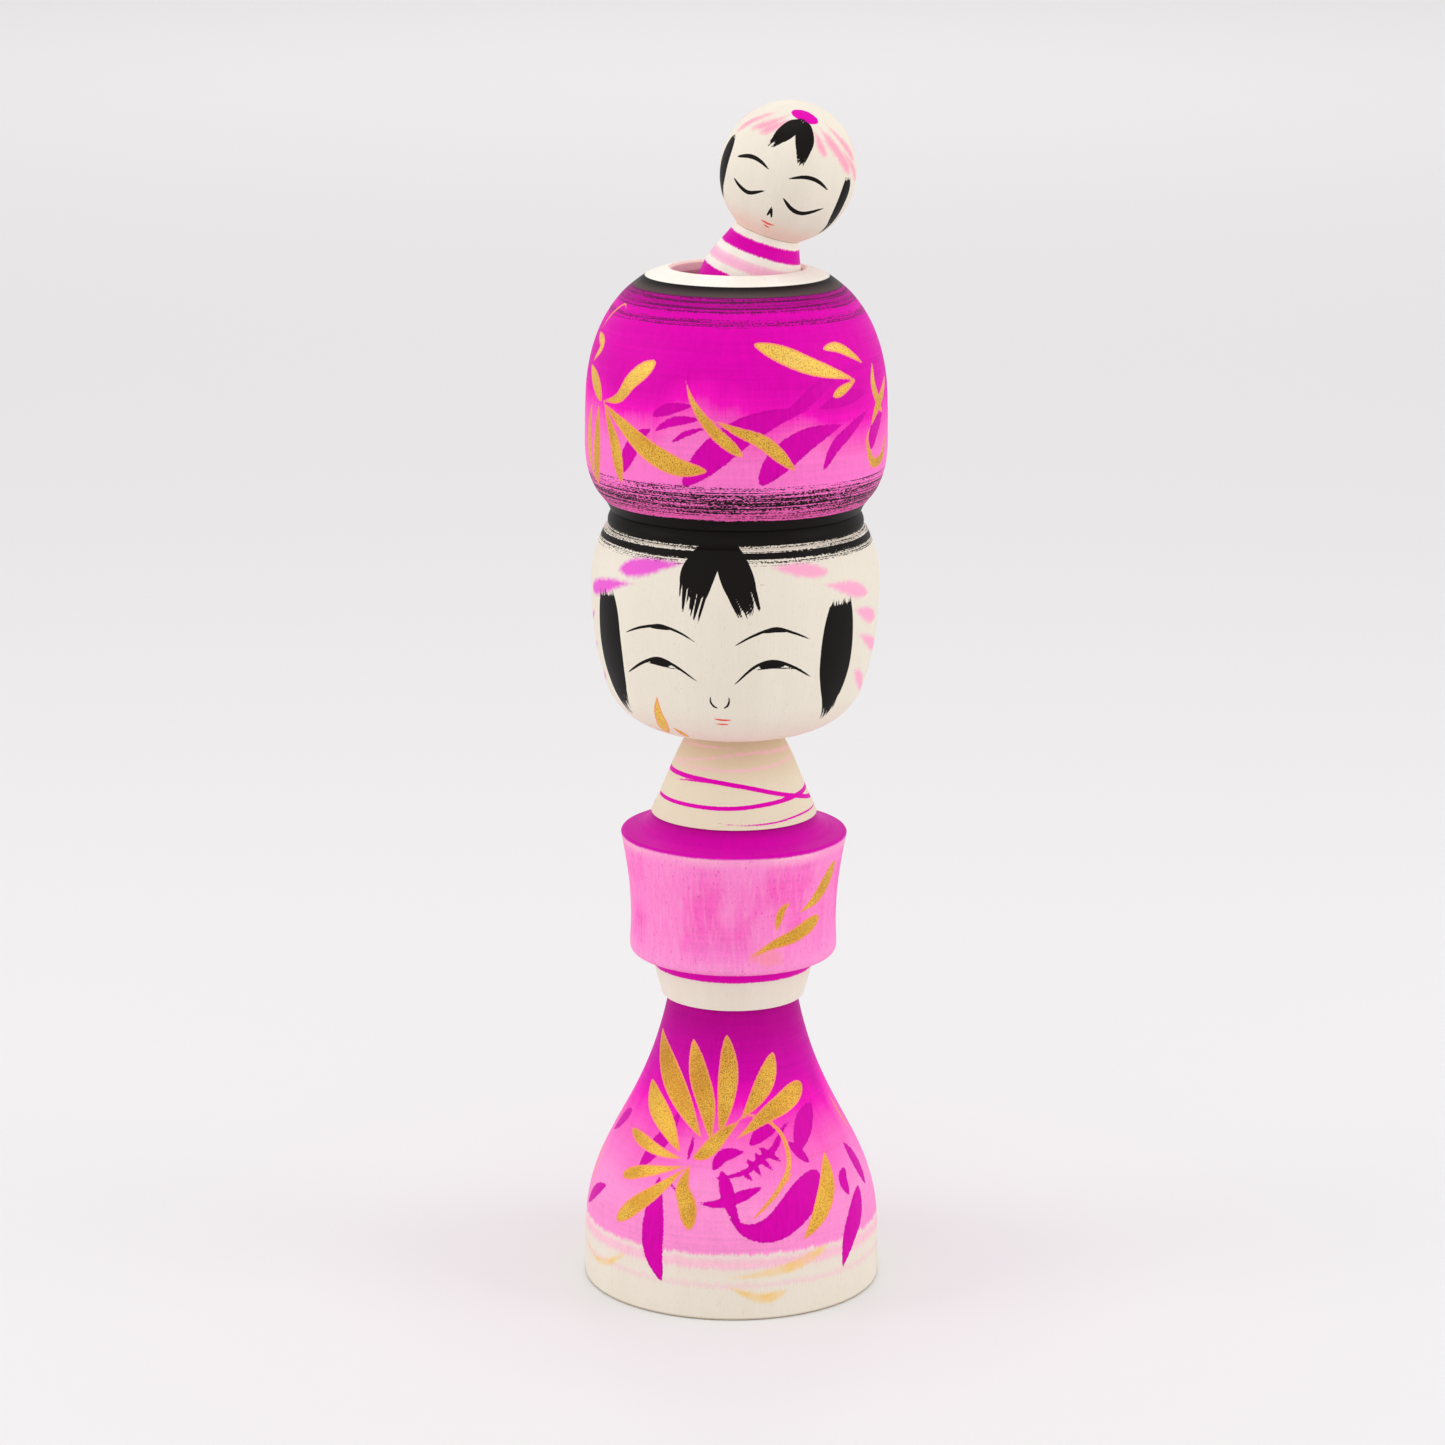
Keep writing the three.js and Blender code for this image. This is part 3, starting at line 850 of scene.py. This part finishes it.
def torso():
    """The torso: a drum of streaked pink between two magenta edges, over a bare ring."""
    piece = Turned("torso", 0.4)
    paint_front_and_back(piece, "gold", TORSO_GOLD)
    piece.brush("blush", 4, 0.5, (9, 12.5), (18, 13), (28, 11.5))

    look = Look("dyed_torso")
    wood, fibre = bare_wood(look)
    bands = [
        (0, thin(MAGENTA, 0)), (6.2, thin(MAGENTA, 0)), (6.35, MAGENTA), (8.9, MAGENTA), (9.1, PINK),
        (10.5, PINK), (14, HOT_PINK), (18, STRONG_PINK), (27, STRONG_PINK), (31, HOT_PINK),
        # painted shade: the magenta shoulder darkens towards the neck cone's foot, in its shadow
        (33.2, PALE_PINK), (33.4, STRONG_MAGENTA), (35.5, STRONG_MAGENTA), (37.75, SHADED_MAGENTA),
    ]
    colour = dyed(look, wood, fibre, bands, piece.height, 0.2)
    above_foot = look.between(look.height, 9.2, 9.6)
    drum = look.times(above_foot, look.between(look.height, 33.7, 33.3))
    patches = look.noise(look.drawn_out(12, 20), detail=2)
    faded = look.times(look.between(patches, 0.3, 0.75, 0, 0.65), drum)
    colour = look.mix(faded, colour, PINK)
    streaks = look.noise(look.drawn_out(0.8, 4), detail=4)
    pale = look.times(look.between(streaks, 0.3, 1.1, 0, 0.26), drum)
    colour = look.mix(pale, colour, PALE_PINK)
    drops = look.noise(look.drawn_out(0.5, 0.8), detail=2)
    spots = look.times(look.between(drops, 0.75, 0.95, 0, 0.4), drum)
    colour = look.mix(spots, colour, MAGENTA)
    colour = look.mix(look.coat("blush", 0.9, 0.8, 0.4), colour, look.mix(0.35, colour, GOLD_EDGE))
    colour, gold = gilded(look, colour, [(0, GOLD), (piece.height, GOLD)], piece.height)
    piece.finish("base", surface(look, colour, fibre, gold=gold))


def neck_cone():
    """The neck: bare wood with a magenta line wound round it, and pale ones under the chin."""
    piece = Turned("neck_cone", 0.26)
    piece.brush("dye", 0.95, 0.5, *NECK_SPIRAL, fullness=0.08)
    paint(piece, "dye", NECK_LINES, fullness=0.4)
    paint(piece, "blush", NECK_PALE, fullness=0.4)

    look = Look("banded_neck")
    wood, fibre = bare_wood(look, NECK_WOOD)
    wood = look.mix(look.between(look.height, 6, 15, 0, 0.6), wood, SHADED_NECK)
    colour = look.mix(look.times(look.coat("blush", 0.3, 0.5, 1.2), 0.55), wood, PALE_PINK)
    colour = look.mix(look.coat("dye", 0.06, 0.1, 3), colour, MAGENTA)
    piece.finish("base", surface(look, colour, fibre))


def head():
    """The head: its face, petals and hair, under a crown ringed in black."""
    piece = Turned("head", 0.22, front=(-72, 56))
    paint(piece, "black", FACE, fullness=0.42)
    paint(piece, "lips", MOUTH)
    paint(piece, "gold", HEAD_GOLD)
    paint(piece, "petal", PETALS_LEFT)
    paint(piece, "flush", PETALS_RIGHT)
    for angle in range(108, 260, 24):
        paint(piece, "petal", [(3.0, 0.7, (angle, 37.5), (angle + 6, 34), (angle + 16, 30))])
        paint(piece, "flush", [(2.6, 0.7, (angle + 10, 29), (angle + 15, 25), (angle + 24, 20.5))])
    comb(piece, HAIR)

    look = Look("painted_head")
    wood, fibre = bare_wood(look)
    # painted reflection: the lower face turns warmer and pinker, as if lit by light bounced off the
    # magenta below
    bounce_light_share = look.between(look.height, 9, 0, 0, 0.28)
    colour = look.mix(bounce_light_share, wood, CHIN_BOUNCE_LIGHT)
    colour = soft_petals(look, colour, "petal", PETAL)
    colour = soft_petals(look, colour, "flush", PALE_PETAL)
    cover = [(0, 0), (38.2, 0), (38.5, 0.38), (39.5, 0.43), (39.75, 0.95), (40.6, 1), (40.85, 0.46),
             (41.5, 0.4), (41.9, 0.55), (42.25, 1.3), (44.75, 1.3)]
    colour, crown = dry_brush(look, colour, BLACK, cover, piece.height, coarse=0.16)
    colour, gold = gilded(look, colour, [(0, PALE_AND_LIT_GOLD), (piece.height, PALE_AND_LIT_GOLD)], piece.height)
    inked = look.coat("black", 0.035, 0.05, 5)
    colour = look.mix(inked, colour, BLACK)
    colour = look.mix(look.coat("lips", 0.04, 0.05, 4), colour, LIPS)
    ink = look.larger(inked, crown)
    piece.finish("head", surface(look, colour, fibre, gold=gold, ink=ink))


def pot():
    """The pot on the head: sprays of gold over faded dye, between dry black rings and a pale rim."""
    piece = Turned("pot", 0.4)
    paint_front_and_back(piece, "gold", POT_GOLD)
    paint_front_and_back(piece, "dye", POT_DYE)
    piece.layers["outside"] = np.full(len(piece.points), -FAR)
    piece.layers["outside"][piece.wall_points] = FAR

    look = Look("dyed_pot")
    wood, fibre = bare_wood(look, SEALED)
    bands = [
        (0, HOT_PINK), (3, FOOT_PINK), (9, HOT_PINK), (15, HOT_PINK), (19, STRONG_PINK),
        (24, BRIGHT_MAGENTA), (29, MAGENTA), (41.6, MAGENTA), (42.2, SHOULDER_MAGENTA),
        (piece.height, SHOULDER_MAGENTA),
    ]
    colour = dyed(look, wood, fibre, bands, piece.height, 1.3, (9, 38))
    colour = dye_strokes(look, colour)
    foot = [(0, 1.3), (2, 1.3), (2.2, 0.4), (4.0, 0.45), (5.0, 0.6), (7.0, 0.56), (8.3, 0.4),
            (9.3, 0.43), (9.6, 0), (piece.height, 0)]
    colour, foot_rings = dry_brush(look, colour, BLACK, foot, piece.height)
    shoulder = [(0, 0), (39.1, 0), (39.4, 0.52), (40.5, 0.5), (40.9, 0.1), (41.7, 0.15),
                (41.9, 0.85), (42.1, 0.25), (42.4, 0.3), (42.5, 0.8), (42.8, 0.35), (43.5, 0.45),
                (43.65, 0.75), (43.9, 0.45), (44.3, 0.5), (44.45, 1.3), (46.1, 1.3), (46.2, 0),
                (piece.height, 0)]
    colour, rings = dry_brush(look, colour, BLACK, shoulder, piece.height, 0.72, 0.16)
    # thin ink with a painted sheen: the black band is grey-brown at its lower edge and full black at
    # the rim
    band = look.mix(look.between(look.height, 44.5, 46), THIN_INK_AND_SHEEN, BLACK)
    colour = look.mix(look.between(look.height, 44.3, 44.6), colour, band)
    rings = look.larger(rings, foot_rings)
    above = look.between(look.height, 46.1, 46.2)
    colour = look.mix(above, colour, wood)
    # painted light: the hollow's wood is near white and pink, as though lit inside, with faint grain
    inner = look.mix(look.times(fibre, 0.15), INNER_WOOD_BOUNCE_LIT, WOOD_GRAIN)
    colour = look.mix(look.between(look.attribute("outside"), -0.2, 0.2), inner, colour)
    # painted light: the pot's gold runs from dull at the foot to pale on the shoulder, as the shoulder
    # catches light from above
    colour, gold = gilded(look, colour, [(0, DARK_AND_SHADED_GOLD), (20, GOLD), (32, PALE_AND_LIT_GOLD)], piece.height)
    piece.finish("pot", surface(look, colour, fibre, gold=gold, ink=rings))


def mini_body():
    """The small doll's body, banded as it turned."""
    piece = Turned("mini_body", 0.4)

    look = Look("banded_body")
    wood, fibre = bare_wood(look, SEALED)
    white = thin(PALE_PINK, 0)
    bands = [
        (0, white), (9.9, white), (10.1, MAGENTA), (12.4, MAGENTA), (12.6, white), (14.4, white),
        (14.8, thin(HOT_PINK, 0.8)), (20.6, thin(HOT_PINK, 0.8)), (21, white), (22.6, white),
        (22.8, MAGENTA), (31.4, MAGENTA), (31.6, white), (32.8, white), (33.2, thin(PALE_PINK, 0.9)),
        (34.2, thin(HOT_PINK, 0.55)), (34.9, thin(PALE_PINK, 0.7)), (35.2, white), (36.4, white),
        (36.55, MAGENTA), (39.0, MAGENTA), (39.15, white), (45.5, white),
    ]
    colour = dyed(look, wood, fibre, bands, piece.height, 0.25)
    piece.finish("mini_body", surface(look, colour, fibre))


def mini_head():
    """The small doll's head: closed eyes, a forelock tied with a ribbon, and a pink flush."""
    piece = Turned("mini_head", 0.24, sunk=0.25)
    paint(piece, "black", SMALL_FACE, fullness=0.5)
    paint(piece, "lips", SMALL_MOUTH)
    paint(piece, "flush", SMALL_FLUSH)
    for angle in range(85, 285, 25):
        paint(piece, "flush", [(2.0, 0.7, (angle, 64.5), (angle + 4, 61.5), (angle + 8, 58.5))])
    paint(piece, "ribbon", [(3.3, 0.50, (-26, 64.9), (-7, 64.9), (13, 64.6))], fullness=0.35)
    comb(piece, SMALL_HAIR)

    look = Look("painted_mini_head")
    wood, fibre = bare_wood(look)
    # painted reflection: the lower face turns pinker, as if lit by light bounced off the pink pot
    bounce_light_share = look.between(look.height, 46, 41, 0, 0.5)
    colour = look.mix(bounce_light_share, wood, SMALL_CHIN_BOUNCE_LIGHT)
    colour = soft_petals(look, colour, "flush", SMALL_PETAL)
    colour = look.mix(look.coat("ribbon", 0.06, 0.2, 2), colour, MAGENTA)
    inked = look.coat("black", 0.035, 0.06, 5)
    colour = look.mix(inked, colour, BLACK)
    colour = look.mix(look.coat("lips", 0.04, 0.05, 4), colour, LIPS)
    piece.finish("mini_head", surface(look, colour, fibre, ink=inked))


def dowel(node, body):
    """A plain dowel of a browner wood."""
    piece = Turned(node, 0.5)
    look = Look(node + "_wood")
    wood, fibre = bare_wood(look, DOWEL_WOOD, DOWEL_GRAIN)
    piece.finish(body, surface(look, wood, fibre, 0.62))


# ---------------------------------------------------------------------------------------------
# The room

def area_light(name, power, size, place, aim):
    """A round soft light of so many watts, aimed at a point."""
    data = bpy.data.lights.new(name, "AREA")
    data.shape = "DISK"
    data.size = size
    data.energy = power
    light = bpy.data.objects.new(name, data)
    light.location = place
    light.rotation_euler = (Vector(aim) - Vector(place)).to_track_quat("-Z", "Y").to_euler()
    bpy.context.scene.collection.objects.link(light)


def floor():
    """A plain pale floor, wide enough to fill the view behind the doll."""
    reach = 9.0
    mesh = bpy.data.meshes.new("floor")
    turns = np.linspace(0, 2 * math.pi, 96, endpoint=False)
    rim = [(reach * math.cos(turn), reach * math.sin(turn), 0) for turn in turns]
    mesh.from_pydata(rim, [], [tuple(range(len(rim)))])
    material = bpy.data.materials.new("floor")
    material.use_nodes = True
    shader = material.node_tree.nodes["Principled BSDF"]
    shader.inputs["Base Color"].default_value = (0.82, 0.815, 0.82, 1)
    shader.inputs["Roughness"].default_value = 0.85
    shader.inputs["Specular IOR Level"].default_value = 0.2
    mesh.materials.append(material)
    made = bpy.data.objects.new("floor", mesh)
    bpy.context.scene.collection.objects.link(made)


def lights(middle):
    """A pale room with a lamp above the doll, one at each side, and one over the floor behind."""
    world = bpy.data.worlds.new("room")
    world.use_nodes = True
    background = world.node_tree.nodes["Background"]
    background.inputs["Color"].default_value = (1, 0.985, 0.99, 1)
    background.inputs["Strength"].default_value = 0.87
    scene = bpy.context.scene
    scene.world = world
    scene.view_settings.view_transform = "Standard"
    area_light("overhead", 1.1, 0.5, (0, -0.05, 1.0), middle)
    area_light("left", 2.0, 0.7, (-1.0, -0.25, 0.5), middle)
    area_light("right", 2.0, 0.7, (1.0, -0.25, 0.5), middle)
    area_light("backdrop", 5.5, 0.8, (0, 2.7, 1.8), (0, 2.7, 0))


def camera():
    """A long lens a little above the doll's head, tipped down to its middle."""
    away, rise, aside = 0.862, 0.3209, -0.0024
    pitch, roll = math.radians(13.42), math.radians(0.31)
    data = bpy.data.cameras.new("camera")
    data.sensor_width = 36
    data.lens = 110.7
    made = bpy.data.objects.new("camera", data)
    made.matrix_world = (Matrix.Translation((aside, -away, rise))
                         @ Matrix.Rotation(math.pi / 2 - pitch, 4, "X") @ Matrix.Rotation(roll, 4, "Z"))
    bpy.context.scene.collection.objects.link(made)
    bpy.context.scene.camera = made


camera()
floor()
lights((CAD_BOX[0] + CAD_BOX[1]) / 2)
skirt()
torso()
neck_cone()
head()
pot()
mini_body()
mini_head()
dowel("waist_dowel", "base")
dowel("neck_dowel", "base")
dowel("crown_dowel", "crown_pin")

bpy.context.view_layer.update()
